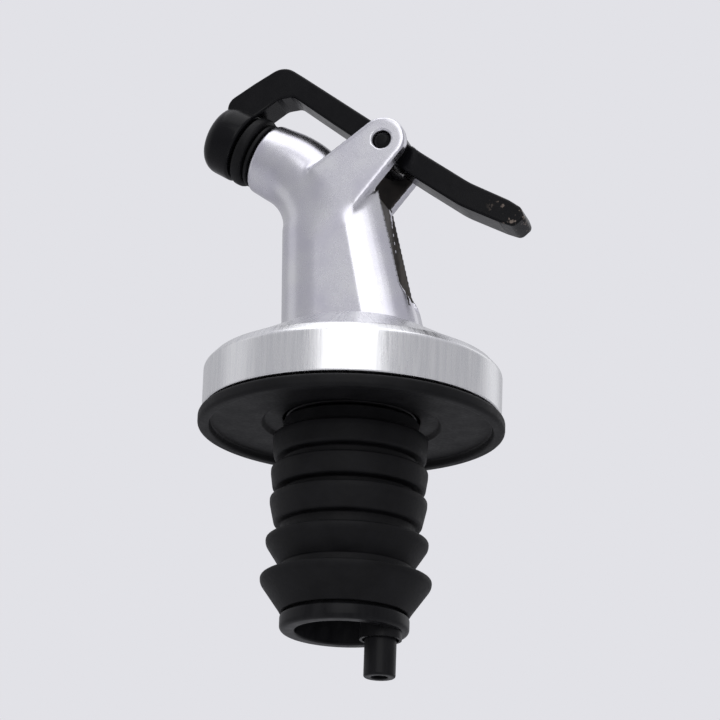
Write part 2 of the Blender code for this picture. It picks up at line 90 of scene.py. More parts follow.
TRUNK_FOOT = 11.0                                 # height where the trunk leaves the collar
BACK_AT_FOOT = 8.6                                # X of the trunk's back there
BACK_SLOPE = 0.255                                # the back slopes in towards the ears
CREASE_AT_FOOT = 2.7                              # X of the crease between the flat side and the back
CREASE_SLOPE = 0.21
BACK_POWER = 3.4                                  # a higher power makes a squarer back
SLOT = ((13.6, 1.0, 8.0), (16.5, 2.9, 5.0), (30.0, 3.0, 2.8))     # the hollow's height, half width, floor's X
BEND_CENTRE = (-14.6, 25.1)                       # X and Z of the point that the neck bends round
BEND_ANGLE = math.radians(61.0)
BEND_INNER_R = 5.3                                # from that point to the neck's inner side
NECK_R = 5.3                                      # the neck's radius at the start of the bend
NECK_BEND_R = 4.65                                # and at its end
MOUTH_R = 4.4
MOUTH_RUN = 2.7                                   # straight length between the bend and the mouth
EAR_R = 2.9
EAR_GAP = 3.7                                     # from the middle plane to the ear's inner face
EAR_FRONT = (-5.2, 31.2)                          # X and Z where the ear's front edge starts
EAR_BACK = (-0.1, 24.7)                           # and where its back edge starts
PIN_R = 1.0
LEVER_HALF = 2.4                                  # half of the lever's width
SPRING_OUTER_Y = -3.2                             # where the coil starts, beside the ear
SPRING_INNER_Y = -1.65                            # where it ends, in the hub's recess
FLOW_R = 2.3                                      # the liquid's bore
FLOW_LINE = ((-1.6, 0, 2.0), (-6.5, 0, 31.5))     # its middle line from the foot up into the neck


# ---------------------------------------------------------------- materials
GLOSS_BLACK = (0.004, 0.004, 0.005)


class Nodes:
    """A Principled material with its node tree, and short ways to add texture nodes."""

    def __init__(self, name, colour, roughness, metallic=0.0):
        self.material = bpy.data.materials.new(name)
        self.material.use_nodes = True
        self.tree = self.material.node_tree
        self.shader = self.tree.nodes["Principled BSDF"]
        self.put("Base Color", (*colour, 1.0))
        self.put("Roughness", roughness)
        self.put("Metallic", metallic)
        self.place = self.tree.nodes.new("ShaderNodeTexCoord").outputs["Object"]

    def put(self, socket, value):
        self.shader.inputs[socket].default_value = value

    def join(self, output, socket):
        self.tree.links.new(output, socket)

    def stretched(self, x, y, z):
        """Object coordinates scaled by a factor on each axis."""
        node = self.tree.nodes.new("ShaderNodeMapping")
        node.inputs["Scale"].default_value = (x, y, z)
        self.join(self.place, node.inputs["Vector"])
        return node.outputs["Vector"]

    def noise(self, vector, scale, detail=3.0, roughness=0.5):
        node = self.tree.nodes.new("ShaderNodeTexNoise")
        node.inputs["Scale"].default_value = scale
        node.inputs["Detail"].default_value = detail
        node.inputs["Roughness"].default_value = roughness
        self.join(vector, node.inputs["Vector"])
        return node.outputs["Fac"]

    def spread(self, value, low, high, from_low=0.3, from_high=0.7):
        """The value mapped from one range to another."""
        node = self.tree.nodes.new("ShaderNodeMapRange")
        ends = {"From Min": from_low, "From Max": from_high, "To Min": low, "To Max": high}
        for socket, number in ends.items():
            node.inputs[socket].default_value = number
        self.join(value, node.inputs["Value"])
        return node.outputs["Result"]

    def maths(self, operation, a, b):
        node = self.tree.nodes.new("ShaderNodeMath")
        node.operation = operation
        for value, socket in zip((a, b), node.inputs):
            if isinstance(value, (int, float)):
                socket.default_value = value
            else:
                self.join(value, socket)
        return node.outputs["Value"]

    def blend(self, factor, first, second):
        """A colour between two colours or colour outputs."""
        node = self.tree.nodes.new("ShaderNodeMix")
        node.data_type = "RGBA"
        self.join(factor, node.inputs["Factor"])
        for value, socket in ((first, node.inputs["A"]), (second, node.inputs["B"])):
            if isinstance(value, tuple):
                socket.default_value = (*value, 1.0)
            else:
                self.join(value, socket)
        return node.outputs["Result"]

    def colour(self, output):
        self.join(output, self.shader.inputs["Base Color"])

    def roughness(self, output):
        self.join(output, self.shader.inputs["Roughness"])

    def bump(self, height, distance_mm, strength=1.0):
        node = self.tree.nodes.new("ShaderNodeBump")
        node.inputs["Distance"].default_value = distance_mm / MM
        node.inputs["Strength"].default_value = strength
        self.join(height, node.inputs["Height"])
        self.join(node.outputs["Normal"], self.shader.inputs["Normal"])


def plated_casting():
    """Satin plating on a die casting: lavender cast, faint mottling, a fine orange-peel skin."""
    m = Nodes("satin_plated_casting", (0.74, 0.73, 0.78), 0.26, 1.0)
    broad = m.noise(m.place, 210.0, 3.0)
    fine = m.noise(m.place, 1500.0, 4.0, 0.6)
    m.colour(m.blend(m.spread(broad, 0.0, 1.0), (0.60, 0.59, 0.66), (0.69, 0.69, 0.715)))
    m.roughness(m.maths("ADD", m.spread(broad, 0.24, 0.27), m.spread(fine, 0.0, 0.03)))
    m.bump(fine, 0.0015)
    return m.material


def shade_painted_casting():
    """Painted shade in the hollows: a dark colour on rough metal, standing in for the shade that falls there.
    """
    m = Nodes("painted_shade_in_hollows", (0.085, 0.080, 0.076), 0.6, 1.0)
    skin = m.noise(m.place, 900.0, 4.0, 0.6)
    m.colour(m.blend(m.spread(skin, 0.0, 1.0), (0.065, 0.062, 0.060), (0.110, 0.100, 0.092)))
    m.roughness(m.spread(skin, 0.5, 0.7))
    m.bump(skin, 0.01)
    return m.material


def brushed_plating():
    """Satin plating with fine lines along the collar's axis, as left by the polishing of its wall."""
    m = Nodes("brushed_plating", (0.78, 0.78, 0.80), 0.25, 1.0)
    flat = m.stretched(1.0, 1.0, 0.0)
    turn = m.tree.nodes.new("ShaderNodeVectorMath")
    turn.operation = "NORMALIZE"
    m.join(flat, turn.inputs[0])
    around = m.tree.nodes.new("ShaderNodeVectorMath")
    around.operation = "MULTIPLY_ADD"
    around.inputs[1].default_value = (38.0, 38.0, 0.0)
    m.join(turn.outputs["Vector"], around.inputs[0])
    m.join(m.stretched(0.0, 0.0, 120.0), around.inputs[2])
    lines = m.noise(around.outputs["Vector"], 1.0, 5.0, 0.65)
    broad = m.noise(m.place, 160.0, 2.0)
    m.colour(m.blend(m.spread(lines, 0.0, 1.0), (0.71, 0.715, 0.735), (0.83, 0.83, 0.835)))
    m.roughness(m.maths("ADD", m.spread(lines, 0.20, 0.30), m.spread(broad, 0.0, 0.05)))
    m.bump(lines, 0.010)
    return m.material


def gloss_plastic():
    """Glossy moulded plastic with rubbed specks where a thumb presses it."""
    m = Nodes("gloss_black_plastic", GLOSS_BLACK, 0.2)
    m.put("Specular IOR Level", 0.13)
    skin = m.noise(m.place, 1300.0, 4.0, 0.6)
    smudge = m.noise(m.place, 260.0, 2.0)
    m.roughness(m.maths("ADD", m.spread(smudge, 0.16, 0.26), m.spread(skin, 0.0, 0.08)))
    split = m.tree.nodes.new("ShaderNodeSeparateXYZ")
    m.join(m.place, split.inputs["Vector"])
    at_tip = m.spread(split.outputs["X"], 0.0, 1.0, 0.0165, 0.0190)
    specks = m.spread(m.noise(m.place, 1400.0, 2.0, 0.7), 0.0, 1.0, 0.60, 0.66)
    worn = m.maths("MULTIPLY", at_tip, specks)
    m.colour(m.blend(worn, GLOSS_BLACK, (0.16, 0.13, 0.11)))
    m.bump(skin, 0.004)
    return m.material


def soft_rubber():
    """Matte moulded rubber with a fine grain and slightly paler, dusty patches."""
    m = Nodes("black_rubber", (0.010, 0.010, 0.011), 0.5)
    m.put("Specular IOR Level", 0.14)
    grain = m.noise(m.place, 2600.0, 4.0, 0.6)
    dust = m.noise(m.place, 330.0, 4.0, 0.6)
    m.colour(m.blend(m.spread(dust, 0.0, 1.0), (0.004, 0.004, 0.0045), (0.009, 0.009, 0.010)))
    m.roughness(m.maths("ADD", m.spread(dust, 0.42, 0.56), m.spread(grain, 0.0, 0.1)))
    m.bump(grain, 0.012)
    return m.material


def core_plastic():
    """Half-gloss black plastic with flow marks from the moulding."""
    m = Nodes("black_core_plastic", (0.008, 0.008, 0.009), 0.35)
    m.put("Specular IOR Level", 0.12)
    marks = m.noise(m.stretched(1.0, 1.0, 0.25), 900.0, 4.0, 0.6)
    m.colour(m.blend(m.spread(marks, 0.0, 1.0), (0.005, 0.005, 0.006), (0.012, 0.012, 0.013)))
    m.roughness(m.spread(marks, 0.28, 0.42))
    m.bump(marks, 0.006)
    return m.material


def spring_wire():
    """Drawn wire, a little uneven in tone."""
    m = Nodes("drawn_spring_wire", (0.60, 0.59, 0.57), 0.25, 1.0)
    drawn = m.noise(m.place, 3000.0, 3.0, 0.6)
    m.colour(m.blend(m.spread(drawn, 0.0, 1.0), (0.50, 0.49, 0.47), (0.68, 0.67, 0.66)))
    m.roughness(m.spread(drawn, 0.18, 0.34))
    return m.material


CASTING = plated_casting()
# The second casting material is painted shade: a dark colour for the hollow down the back and the ears' inner
# sides.
SHADE_PAINT = shade_painted_casting()
BRUSHED = brushed_plating()
GLOSS = gloss_plastic()
RUBBER = soft_rubber()
CORE = core_plastic()
STEEL = spring_wire()


# ---------------------------------------------------------------- modelling tools
def shade(mesh, sharp_degrees):
    """Smooth shading, with edges above the angle kept sharp."""
    mesh.shade_smooth()
    mesh.set_sharp_from_angle(angle=math.radians(sharp_degrees))
    return mesh


def add_object(name, data):
    """New object in the scene."""
    obj = bpy.data.objects.new(name, data)
    bpy.context.scene.collection.objects.link(obj)
    return obj


def solid(name, bm, sharp_degrees=40.0):
    """Object from a finished bmesh, with its faces turned outwards."""
    bmesh.ops.recalc_face_normals(bm, faces=bm.faces)
    mesh = bpy.data.meshes.new(name)
    bm.to_mesh(mesh)
    bm.free()
    return add_object(name, shade(mesh, sharp_degrees))


def evaluated_mesh(obj):
    graph = bpy.context.evaluated_depsgraph_get()
    return bpy.data.meshes.new_from_object(obj.evaluated_get(graph))


def settle(obj, sharp_degrees=40.0):
    """Apply the object's modifiers."""
    bpy.context.view_layer.update()
    mesh = evaluated_mesh(obj)
    obj.modifiers.clear()
    obj.data = shade(mesh, sharp_degrees)
    return obj


def combine(obj, operation, *tools, sharp_degrees=40.0):
    """Boolean with each tool in turn, after which the tools are gone."""
    for tool in tools:
        modifier = obj.modifiers.new(tool.name, "BOOLEAN")
        modifier.operation = operation
        modifier.solver = "EXACT"
        modifier.object = tool
    settle(obj, sharp_degrees)
    for tool in tools:
        bpy.data.objects.remove(tool, do_unlink=True)
    return obj


def rounded(corner_list, closed=True, steps=5):
    """Outline from (x, y, radius) corners, each turned into an arc that fits between its neighbours."""
    points = []
    count = len(corner_list)
    for i, (x, y, radius) in enumerate(corner_list):
        here = Vector((x, y))
        if radius <= 0.0 or (not closed and i in (0, count - 1)):
            points.append(here)
            continue
        before = Vector(corner_list[i - 1][:2]) - here
        after = Vector(corner_list[(i + 1) % count][:2]) - here
        half = before.angle(after) / 2
        reach = min(radius / math.tan(half), 0.49 * before.length, 0.49 * after.length)
        start = here + before.normalized() * reach
        end = here + after.normalized() * reach
        centre = here + (before.normalized() + after.normalized()).normalized() * (reach / math.cos(half))
        a = start - centre
        b = end - centre
        sweep = a.angle(b)
        side = 1.0 if a.x * b.y - a.y * b.x > 0 else -1.0
        for k in range(steps + 1):
            turn = side * sweep * k / steps
            cos, sin = math.cos(turn), math.sin(turn)
            points.append(centre + Vector((a.x * cos - a.y * sin, a.x * sin + a.y * cos)))
    return points


def lathe(name, profile, steps=192, placing=Matrix(), sharp_degrees=40.0):
    """Solid turned from a closed (radius, height) outline round the placing's Z axis."""
    bm = bmesh.new()
    rings = []
    for i in range(steps):
        turn = 2 * math.pi * i / steps
        cos, sin = math.cos(turn) / MM, math.sin(turn) / MM
        rings.append([bm.verts.new((r * cos, r * sin, z / MM)) for r, z in profile])
    count = len(profile)
    for i in range(steps):
        here, there = rings[i], rings[(i + 1) % steps]
        for k in range(count):
            n = (k + 1) % count
            if profile[k][0] > 0.0 or profile[n][0] > 0.0:
                bm.faces.new((here[k], here[n], there[n], there[k]))
    bmesh.ops.remove_doubles(bm, verts=bm.verts, dist=1e-7)
    bmesh.ops.dissolve_degenerate(bm, dist=1e-7, edges=bm.edges)
    bmesh.ops.transform(bm, matrix=placing, verts=bm.verts)
    return solid(name, bm, sharp_degrees)


def placing_along(spot, way):
    """Matrix that moves the origin to a place and turns +Z to a direction."""
    return Matrix.Translation(spot) @ Vector((0, 0, 1)).rotation_difference(way).to_matrix().to_4x4()


def rod(name, start, end, radius, steps=64):
    """Cylinder between two points."""
    start, end = Vector(start), Vector(end)
    run = end - start
    bm = bmesh.new()
    bmesh.ops.create_cone(bm, cap_ends=True, segments=steps, radius1=radius / MM, radius2=radius / MM,
                          depth=run.length / MM, matrix=placing_along((start + end) / (2 * MM), run))
    return solid(name, bm)


def hinge_rod(name, start_y, end_y, radius, steps=64):
    """Cylinder round the hinge's axis."""
    return rod(name, (PIVOT[0], start_y, PIVOT[1]), (PIVOT[0], end_y, PIVOT[1]), radius, steps)


def loft(name, rings):
    """Closed skin over rings with the same number of points."""
    bm = bmesh.new()
    loops = [[bm.verts.new(Vector(point) / MM) for point in ring] for ring in rings]
    count = len(loops[0])
    for low, high in zip(loops, loops[1:]):
        for i in range(count):
            j = (i + 1) % count
            bm.faces.new((low[i], low[j], high[j], high[i]))
    bm.faces.new(list(reversed(loops[0])))
    bm.faces.new(loops[-1])
    return solid(name, bm)


def slab(name, outline, half):
    """Outline of (x, z) points thickened both ways along Y."""
    return loft(name, [[(x, -half, z) for x, z in outline], [(x, half, z) for x, z in outline]])


def soften(obj, width, segments, degrees):
    """Round every edge that is sharper than the angle."""
    modifier = obj.modifiers.new("edges", "BEVEL")
    modifier.width = width / MM
    modifier.segments = segments
    modifier.limit_method = "ANGLE"
    modifier.angle_limit = math.radians(degrees)
    modifier.harden_normals = True
    return settle(obj)


def arc(centre, radius, start, end, count):
    """Points of an arc, its angles in degrees."""
    angles = [math.radians(start + (end - start) * i / count) for i in range(count + 1)]
    return [(centre[0] + radius * math.cos(a), centre[1] + radius * math.sin(a)) for a in angles]


def dress(obj, body, slot, material, *nodes):
    """Give a finished piece its material and its body, and hide the CAD nodes that it stands for; the slot is
    not used.
    """
    obj.data.materials.clear()
    obj.data.materials.append(material)
    normals = obj.modifiers.new("normals", "WEIGHTED_NORMAL")
    normals.keep_sharp = True
    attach(obj, body)
    if nodes:
        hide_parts(*nodes)
    return obj


# ---------------------------------------------------------------- the neck's path and the mouth's frame
def neck_frame(run):
    """Centre, radius and direction of the neck; run counts millimetres along the mouth once past 1."""
    angle = BEND_ANGLE * min(run, 1.0)
    straight = max(run - 1.0, 0.0)
    radius = NECK_R + (NECK_BEND_R - NECK_R) * min(run, 1.0)
    arm = BEND_INNER_R + radius
    forward = Vector((-math.sin(angle), 0.0, math.cos(angle)))
    radius += (MOUTH_R - NECK_BEND_R) * min(straight / MOUTH_RUN, 1.0)
    centre = Vector((BEND_CENTRE[0] + arm * math.cos(angle), 0.0, BEND_CENTRE[1] + arm * math.sin(angle)))
    return centre + forward * straight, radius, forward


MOUTH_CENTRE, _, MOUTH_WAY = neck_frame(1.0 + MOUTH_RUN)
MOUTH_UP = Vector((MOUTH_WAY.z, 0.0, -MOUTH_WAY.x))
MOUTH = placing_along(MOUTH_CENTRE / MM, MOUTH_WAY)
ON_PIVOT = Matrix.Translation((PIVOT[0] / MM, 0, PIVOT[1] / MM)) @ Matrix.Rotation(math.radians(90.0), 4, "X")


def on_mouth(out, up):
    """Point at a distance out of the mouth and a distance above its centre."""
    return MOUTH_CENTRE + MOUTH_WAY * out + MOUTH_UP * up


# ---------------------------------------------------------------- spout body
def trunk_back(z):
    """X of the trunk's back at a height."""
    return BACK_AT_FOOT - BACK_SLOPE * (z - TRUNK_FOOT)


def trunk_section(z, grow=0.0):
    """Outline of the trunk: round front, flat sides, and a rounded back behind a crease."""
    rise = z - TRUNK_FOOT
    half = HALF_WIDTH + grow
    front = -9.0 - 0.03 * rise - grow
    back = trunk_back(z) + grow
    crease = CREASE_AT_FOOT - CREASE_SLOPE * rise
    nose = front + half
    front_steps, back_steps = 48, 40
    turns = [math.pi * i / front_steps for i in range(front_steps + 1)]
    ring = [(nose - half * math.sin(t), half * math.cos(t), z) for t in turns]
    for i in range(back_steps + 1):
        share = math.sin(math.pi / 2 * (i / (back_steps / 2) - 1))
        ring.append((back - (back - crease) * abs(share) ** BACK_POWER, half * share, z))
    return ring


def neck_ring(run, grow=0.0):
    """Ring of points round the neck at a run along its path."""
    centre, radius, forward = neck_frame(run)
    across = Vector((forward.z, 0.0, -forward.x))
    turns = [2 * math.pi * i / 120 for i in range(120)]
    return [centre + (Vector((0, math.sin(t), 0)) + across * math.cos(t)) * (radius + grow) for t in turns]


def ear_tangent(point, side):
    """Angle, in degrees, where a line from the point touches the ear's round end."""
    reach = Vector((point[0] - PIVOT[0], point[1] - PIVOT[1]))
    return math.degrees(math.atan2(reach.y, reach.x) + side * math.acos(EAR_R / reach.length)) % 360.0


def ear_outline():
    """Side view of an ear: a round end on two edges that run into the trunk."""
    lower = ear_tangent(EAR_BACK, 1) - 360.0
    upper = ear_tangent(EAR_FRONT, -1)
    root = [(EAR_FRONT[0] + 1.6, EAR_FRONT[1] - 4.5), (EAR_BACK[0] - 2.0, EAR_BACK[1] - 1.0)]
    return [EAR_BACK] + arc(PIVOT, EAR_R, lower, upper, 60) + [EAR_FRONT] + root


def pocket_outline(drop):
    """Side view of the space above the trunk's back, between the ears; drop lowers its floor."""
    touch = math.radians(ear_tangent(EAR_BACK, 1))
    touch_x = PIVOT[0] + EAR_R * math.cos(touch)
    touch_z = PIVOT[1] + EAR_R * math.sin(touch)
    slope = (touch_z - EAR_BACK[1]) / (touch_x - EAR_BACK[0])
    start = BEND_CENTRE[1] - 5.0 * drop
    turn_x = EAR_BACK[0] + (start - EAR_BACK[1] + drop) / slope
    left, right = -16.0, 14.0
    top = start + (right - turn_x) * slope
    return [(left, start), (turn_x, start), (right, top), (left, top)]


def relax(mesh, rounds, convex_share, centre=None, reach=0.0):
    """Laplacian smoothing that fills hollow corners fully and eats ridges only by a share.

    With a centre it fades out at that reach from an axis along Y, and works only on the outer sides.
    """
    count = len(mesh.vertices)
    spots = np.empty(count * 3)
    mesh.vertices.foreach_get("co", spots)
    spots = spots.reshape(-1, 3)
    edges = np.empty(len(mesh.edges) * 2, int)
    mesh.edges.foreach_get("vertices", edges)
    first, second = edges.reshape(-1, 2).T
    degree = np.bincount(edges, minlength=count)[:, None]
    strength = np.full((count, 1), 0.5)
    if centre:
        away = np.hypot(spots[:, 0] * MM - centre[0], spots[:, 2] * MM - centre[1])
        outer = np.abs(spots[:, 1]) * MM > EAR_GAP + 0.5
        strength[:, 0] = 0.5 * np.clip(1.5 - 1.5 * away / reach, 0.0, 1.0) * outer
    normals = np.empty(count * 3)
    for step in range(rounds):
        if step % 5 == 0:
            mesh.vertices.foreach_set("co", spots.ravel())
            mesh.update()
            mesh.vertices.foreach_get("normal", normals)
            outward = normals.reshape(-1, 3)
        total = np.empty_like(spots)
        for axis in range(3):
            total[:, axis] = (np.bincount(first, spots[second, axis], count)
                              + np.bincount(second, spots[first, axis], count))
        move = total / degree - spots
        hollow = np.sum(move * outward, axis=1) > 0
        spots = spots + move * strength * np.where(hollow, 1.0, convex_share)[:, None]
    mesh.vertices.foreach_set("co", spots.ravel())
    mesh.update()


def casting_blank():
    """Trunk, ears and neck in one piece, with the hollow down the back; its edges and joins are softened."""
    end = 1.0 + MOUTH_RUN
    trunk = loft("trunk", [trunk_section(z) for z in (TRUNK_FOOT - 3.4, 29.0)])
    trim = slab("trim", pocket_outline(0.0), HALF_WIDTH + 2.0)
    ears = slab("ears", ear_outline(), HALF_WIDTH - 0.02)
    pocket = slab("pocket", pocket_outline(0.08), EAR_GAP)
    foot = [point - Vector((0, 0, 2.0)) for point in neck_ring(0.0, -0.02)]
    bend = [neck_ring(i / 24.0) for i in range(25)]
    rounding = ((0.45, 0.0), (0.25, 0.05), (0.08, 0.2), (0.0, 0.4))
    lip = [neck_ring(end - back, -inset) for back, inset in rounding]
    neck = loft("neck", [foot] + bend + lip)
    slot = loft("slot", [[(floor, -half, z), (14.0, -half, z), (14.0, half, z), (floor, half, z)]
                         for z, half, floor in SLOT])
    combine(ears, "DIFFERENCE", pocket)
    combine(trunk, "DIFFERENCE", trim)
    combine(trunk, "UNION", ears, neck)
    combine(trunk, "DIFFERENCE", slot)
    grid = trunk.modifiers.new("grid", "REMESH")
    grid.mode = "VOXEL"
    grid.voxel_size = 0.00018
    settle(trunk)
    relax(trunk.data, 30, 0.16)
    relax(trunk.data, 160, 1.0, (-3.6, 26.6), 4.6)
    return trunk


def painted_shade_faces(mesh):
    """Indices of the faces inside the hollow down the back and on the ears' inner sides, where shade is
    painted.
    """
    slot_half, slot_low, skin = 3.1, 14.0, 0.35
    floor_half, ears_front, ears_low = 2.6, -6.0, 27.0
    shaded_indices = []
    for face in mesh.polygons:
        middle = face.center * MM
        off = abs(middle.y)
        facing_in = middle.y * face.normal.y < -0.5 * off
        depth = trunk_back(middle.z) - middle.x
        in_slot = off < slot_half and middle.z > slot_low and middle.x > 0.0 and depth > skin
        slot_inside = in_slot and (face.normal.x > 0.6 if off < floor_half else facing_in)
        between_ears = off < EAR_GAP + 0.1 and middle.x > ears_front and middle.z > ears_low
        if slot_inside or (between_ears and facing_in):
            shaded_indices.append(face.index)
    return shaded_indices


def make_body():
    """Casting with the liquid's bore, the air's bore and the pin's countersunk hole."""
    casting = casting_blank()
    casting.name = "spout_casting"
    wide, bore, sink = HALF_WIDTH + 0.3, PIN_R + 0.12, 0.55
    pin_hole = [(0.0, wide), (bore + sink, wide), (bore, wide - sink),
                (bore, sink - wide), (bore + sink, -wide), (0.0, -wide)]
    for hole in (rod("flow", *FLOW_LINE, FLOW_R),
                 rod("flow_out", on_mouth(-7.0, -1.3), on_mouth(2.0, -1.3), FLOW_R),
                 rod("air", on_mouth(-8.8, 2.6), on_mouth(2.0, 2.6), 0.6, 24),
                 lathe("pin_hole", pin_hole, 64, ON_PIVOT)):
        combine(casting, "DIFFERENCE", hole, sharp_degrees=50.0)
    dress(casting, ROOT, "plated_metal", CASTING, "spout_body")
    # The hollow and the ears' inner sides take the second material, whose dark colour is painted shade.
    casting.data.materials.append(SHADE_PAINT)
    for index in painted_shade_faces(casting.data):
        casting.data.polygons[index].material_index = 1


def make_base():
    """The body's foot inside the collar: a flange and the spigot with its seal groove."""
    profile = rounded([
        (0.0, 8.6, 0.0), (12.0, 8.6, 0.3), (12.0, 6.9, 0.3), (6.0, 6.9, 0.2), (6.0, 6.0, 0.1),
        (4.9, 6.0, 0.1), (4.9, 4.6, 0.1), (6.0, 4.6, 0.1), (6.0, 3.8, 0.3), (0.0, 3.8, 0.0)], steps=3)
    base = lathe("spout_base", profile, 128)
    combine(base, "DIFFERENCE", rod("base_bore", *FLOW_LINE, FLOW_R))
    dress(base, ROOT, "plated_metal", CASTING)


# ---------------------------------------------------------------- collar, gasket, core, sleeve, tube
def make_collar():
    """Ring and dome, open round the trunk's foot."""
    low, wall = COLLAR_LOW, 1.0
    outer = [(0.0, CROWN_Z, 0.0), (5.0, CROWN_Z - 0.1, 6.0), (8.6, CROWN_Z - 0.6, 4.0),
             (14.2, CROWN_Z - 3.5, 30.0), (COLLAR_R - 1.0, 7.4, 0.4), (COLLAR_R, 6.35, 0.8),
             (COLLAR_R, low, 0.3)]
    inner = [(COLLAR_R - wall, low, 0.15), (COLLAR_R - wall, 6.0, 0.4), (13.7, CROWN_Z - 4.4, 8.0),
             (8.1, CROWN_Z - 1.5, 1.0), (0.0, CROWN_Z - 1.0, 0.0)]
    collar = lathe("collar_shell", rounded(outer + inner, steps=8), 256, sharp_degrees=30.0)
    hole = loft("collar_hole", [trunk_section(z, 0.25) for z in (7.0, 17.0)])
    combine(collar, "DIFFERENCE", hole, sharp_degrees=30.0)
    dress(collar, ROOT, "plated_metal", BRUSHED, "collar_cap")


def make_gasket():
    """Rubber disc on the bottle's lip, with a rim that hangs outside it."""
    top, low = COLLAR_LOW - 0.3, GASKET_LOW
    profile = rounded([
        (17.2, top, 0.1), (GASKET_R, top, 0.45), (GASKET_R, low, 0.5), (GASKET_R - 1.35, low, 0.3),
        (GASKET_R - 1.55, 0.0, 0.25), (10.8, 0.0, 0.2), (10.4, 0.5, 0.2), (8.2, 0.5, 0.2), (8.2, 3.0, 0.2),
        (16.6, 3.0, 0.2), (16.6, top, 0.2)], steps=5)
    dress(lathe("lip_gasket_ring", profile, 256), ROOT, "black_rubber", RUBBER, "lip_gasket")


def make_core():
    """Plastic stem with a flange under the collar, an open lower end and the air tube's socket."""
    end, shoulder = CORE_END, SLEEVE_END - 0.3
    profile = rounded([
        (0.0, 3.5, 0.0), (6.3, 3.5, 0.2), (6.3, 6.6, 0.2), (16.6, 6.6, 0.4), (16.6, 3.3, 0.3),
        (7.9, 3.3, 0.4), (7.9, 0.5, 0.3), (7.0, 0.5, 0.1), (7.0, shoulder, 0.2), (7.7, shoulder, 0.35),
        (7.7, end, 0.6), (5.9, end, 0.25), (4.9, end + 7.0, 0.8), (0.0, end + 7.0, 0.0)], steps=5)
    core = lathe("core_moulding", profile, 160)
    socket = rod("core_socket", (TUBE_X, 0, end - 1.0), (TUBE_X, 0, end + 8.0), 2.5)
    combine(core, "UNION", socket)
    combine(core, "DIFFERENCE",
            rod("core_flow", (-1.6, 0, end - 1.0), (-1.6, 0, 5.0), 3.0),
            rod("core_tube_hole", (TUBE_X, 0, end - 2.0), (TUBE_X, 0, -11.7), TUBE_R + 0.3),
            rod("core_air", (TUBE_X, 0, -13.0), (TUBE_X, 0, 5.0), 1.0, 32))
    dress(core, ROOT, "core_plastic", CORE, "core_stem")


def make_sleeve():
    """Rubber sleeve; each fin has a top, a bottom and the radii there."""
    fins = ((-1.6, -4.6, 9.3, 9.1), (-5.6, -8.4, 9.4, 9.1), (-9.2, -12.7, 9.4, 8.8),
            (-14.2, -17.7, 9.7, 8.0), (-18.9, -22.9, 10.2, 8.0))
    outer = [(8.2, SLEEVE_TOP, 0.2)]
    for top, bottom, top_r, bottom_r in fins:
        outer += [(7.9, top, 0.3), (top_r, top - 0.15, 0.3), (top_r - 0.02, top - 0.9, 1.2),
                  (bottom_r, bottom, 0.5), (7.9, bottom - 0.1, 0.25)]
    outer[-1] = (7.7, SLEEVE_END, 0.2)
    profile = rounded(outer + [(7.3, SLEEVE_END, 0.1), (7.3, SLEEVE_TOP, 0.1)], steps=5)
    dress(lathe("finned_sleeve", profile, 192), ROOT, "black_rubber", RUBBER, "stopper_sleeve")


def make_vent_tube():
    """Plain tube for the air, below the stem's socket."""
    low, high, bore = TUBE_LOW.z, TUBE_HIGH.z, 1.0
    profile = rounded([(bore, high, 0.1), (TUBE_R, high, 0.15), (TUBE_R, low, 0.25), (bore, low, 0.15)],
                      steps=4)
    tube = lathe("vent_tube_fine", profile, 96, Matrix.Translation((TUBE_X / MM, 0, 0)))
    dress(tube, ROOT, "core_plastic", CORE, "vent_tube")


def make_seal():
    """O-ring in the spigot's groove."""
    ring = lathe("o_ring", arc((5.6, 5.3), 0.45, 0, 345, 23), 96)
    dress(ring, ROOT, "black_rubber", RUBBER, "body_seal")


# ---------------------------------------------------------------- lever, plug, pin, spring
def make_lever():
    """Thumb tail, hub, arm and hook in one outline, and the pad over the mouth."""
    outline = rounded([
        (20.8, 25.7, 0.9), (19.3, 26.75, 1.5), (14.4, 29.3, 12.0), (8.8, 33.2, 0.0), (-7.0, 44.6, 0.0),
        (-9.6, 46.4, 2.6), (-13.4, 44.2, 2.5), (-17.3, 41.7, 1.8), (-15.4, 38.2, 0.3), (-10.1, 41.9, 1.5),
        (-8.3, 42.1, 1.0), (-3.0, 38.1, 0.0), (5.6, 31.75, 0.0), (8.1, 29.95, 8.0), (13.2, 26.4, 12.0),
        (18.2, 23.95, 2.0), (20.0, 23.25, 0.9), (21.3, 24.4, 0.7)], steps=8)
    lever = slab("lever_arm", outline, LEVER_HALF)
    soften(lever, 0.5, 4, 50.0)
    start, end, radius = 2.9, 7.4, 4.45
    pad = rounded([(0.0, end, 0.0), (radius - 0.1, end - 0.05, 2.1), (radius, start, 0.45),
                   (1.6, start, 0.1), (1.6, start + 2.5, 0.1), (0.0, start + 2.5, 0.0)], steps=8)
    combine(lever, "UNION", hinge_rod("hub", -2.55, 2.55, 2.5, 96), lathe("pad", pad, 160, MOUTH))
    combine(lever, "DIFFERENCE", hinge_rod("relief", -1.26, -3.6, 2.14), hinge_rod("pin_bore", -9, 9, 1.07))
    dress(lever, LEVER, "gloss_black", GLOSS, "lever")


def make_pin():
    """Hinge pin with slightly domed ends, just below the ears' outer faces."""
    half = HALF_WIDTH - 0.2
    profile = rounded([
        (0.0, half - 0.05, 0.0), (0.62, half - 0.05, 0.2), (PIN_R, half - 0.3, 0.15),
        (PIN_R, -half + 0.3, 0.15), (0.62, -half + 0.05, 0.2), (0.0, -half + 0.05, 0.0)], steps=4)
    dress(lathe("hinge_pin", profile, 64, ON_PIVOT), ROOT, "gloss_black", GLOSS, "pivot_pin")


